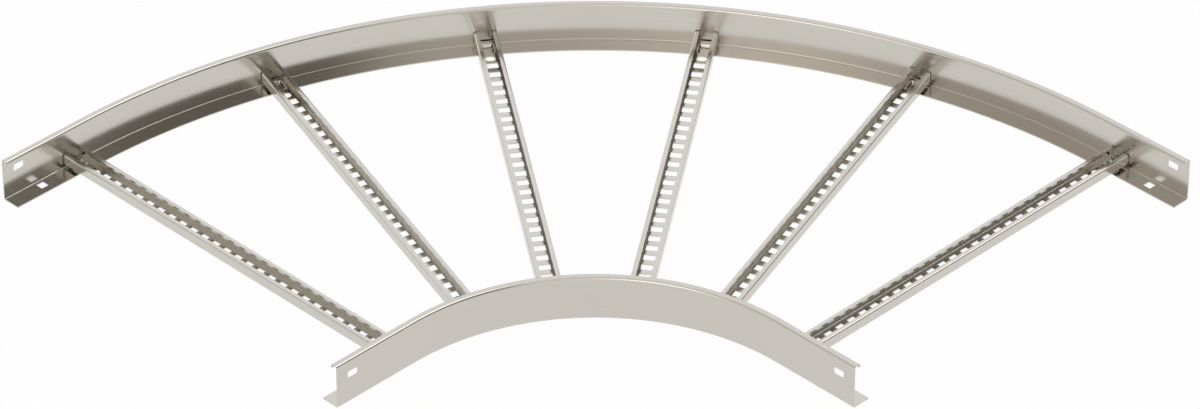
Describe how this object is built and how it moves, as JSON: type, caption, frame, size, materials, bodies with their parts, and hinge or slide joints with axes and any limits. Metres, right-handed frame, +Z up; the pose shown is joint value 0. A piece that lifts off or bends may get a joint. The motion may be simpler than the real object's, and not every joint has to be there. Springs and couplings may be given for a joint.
{
  "type": "cable ladder bend",
  "caption": "Horizontal right-angle bend of a cable ladder: two curved folded side rails joined by slotted channel rungs, with slots for joint plates at both ends.",
  "frame": {"origin": "middle of the plan's bounding square, on the underside of the bottom flanges", "axes": "+Z up; the bend's centre lies towards -X -Y; one end faces -X, the other -Y"},
  "size_m": [1.027, 1.027, 0.06],
  "materials": {
    "stainless_rail": "mill-finish stainless steel sheet",
    "stainless_rung": "mill-finish stainless steel sheet"
  },
  "bodies": {
    "root": {"outer_side_rail": "stainless_rail", "inner_side_rail": "stainless_rail", "rung_1": "stainless_rung", "rung_2": "stainless_rung", "rung_3": "stainless_rung", "rung_4": "stainless_rung", "rung_5": "stainless_rung", "rung_6": "stainless_rung"}
  },
  "joints": []
}
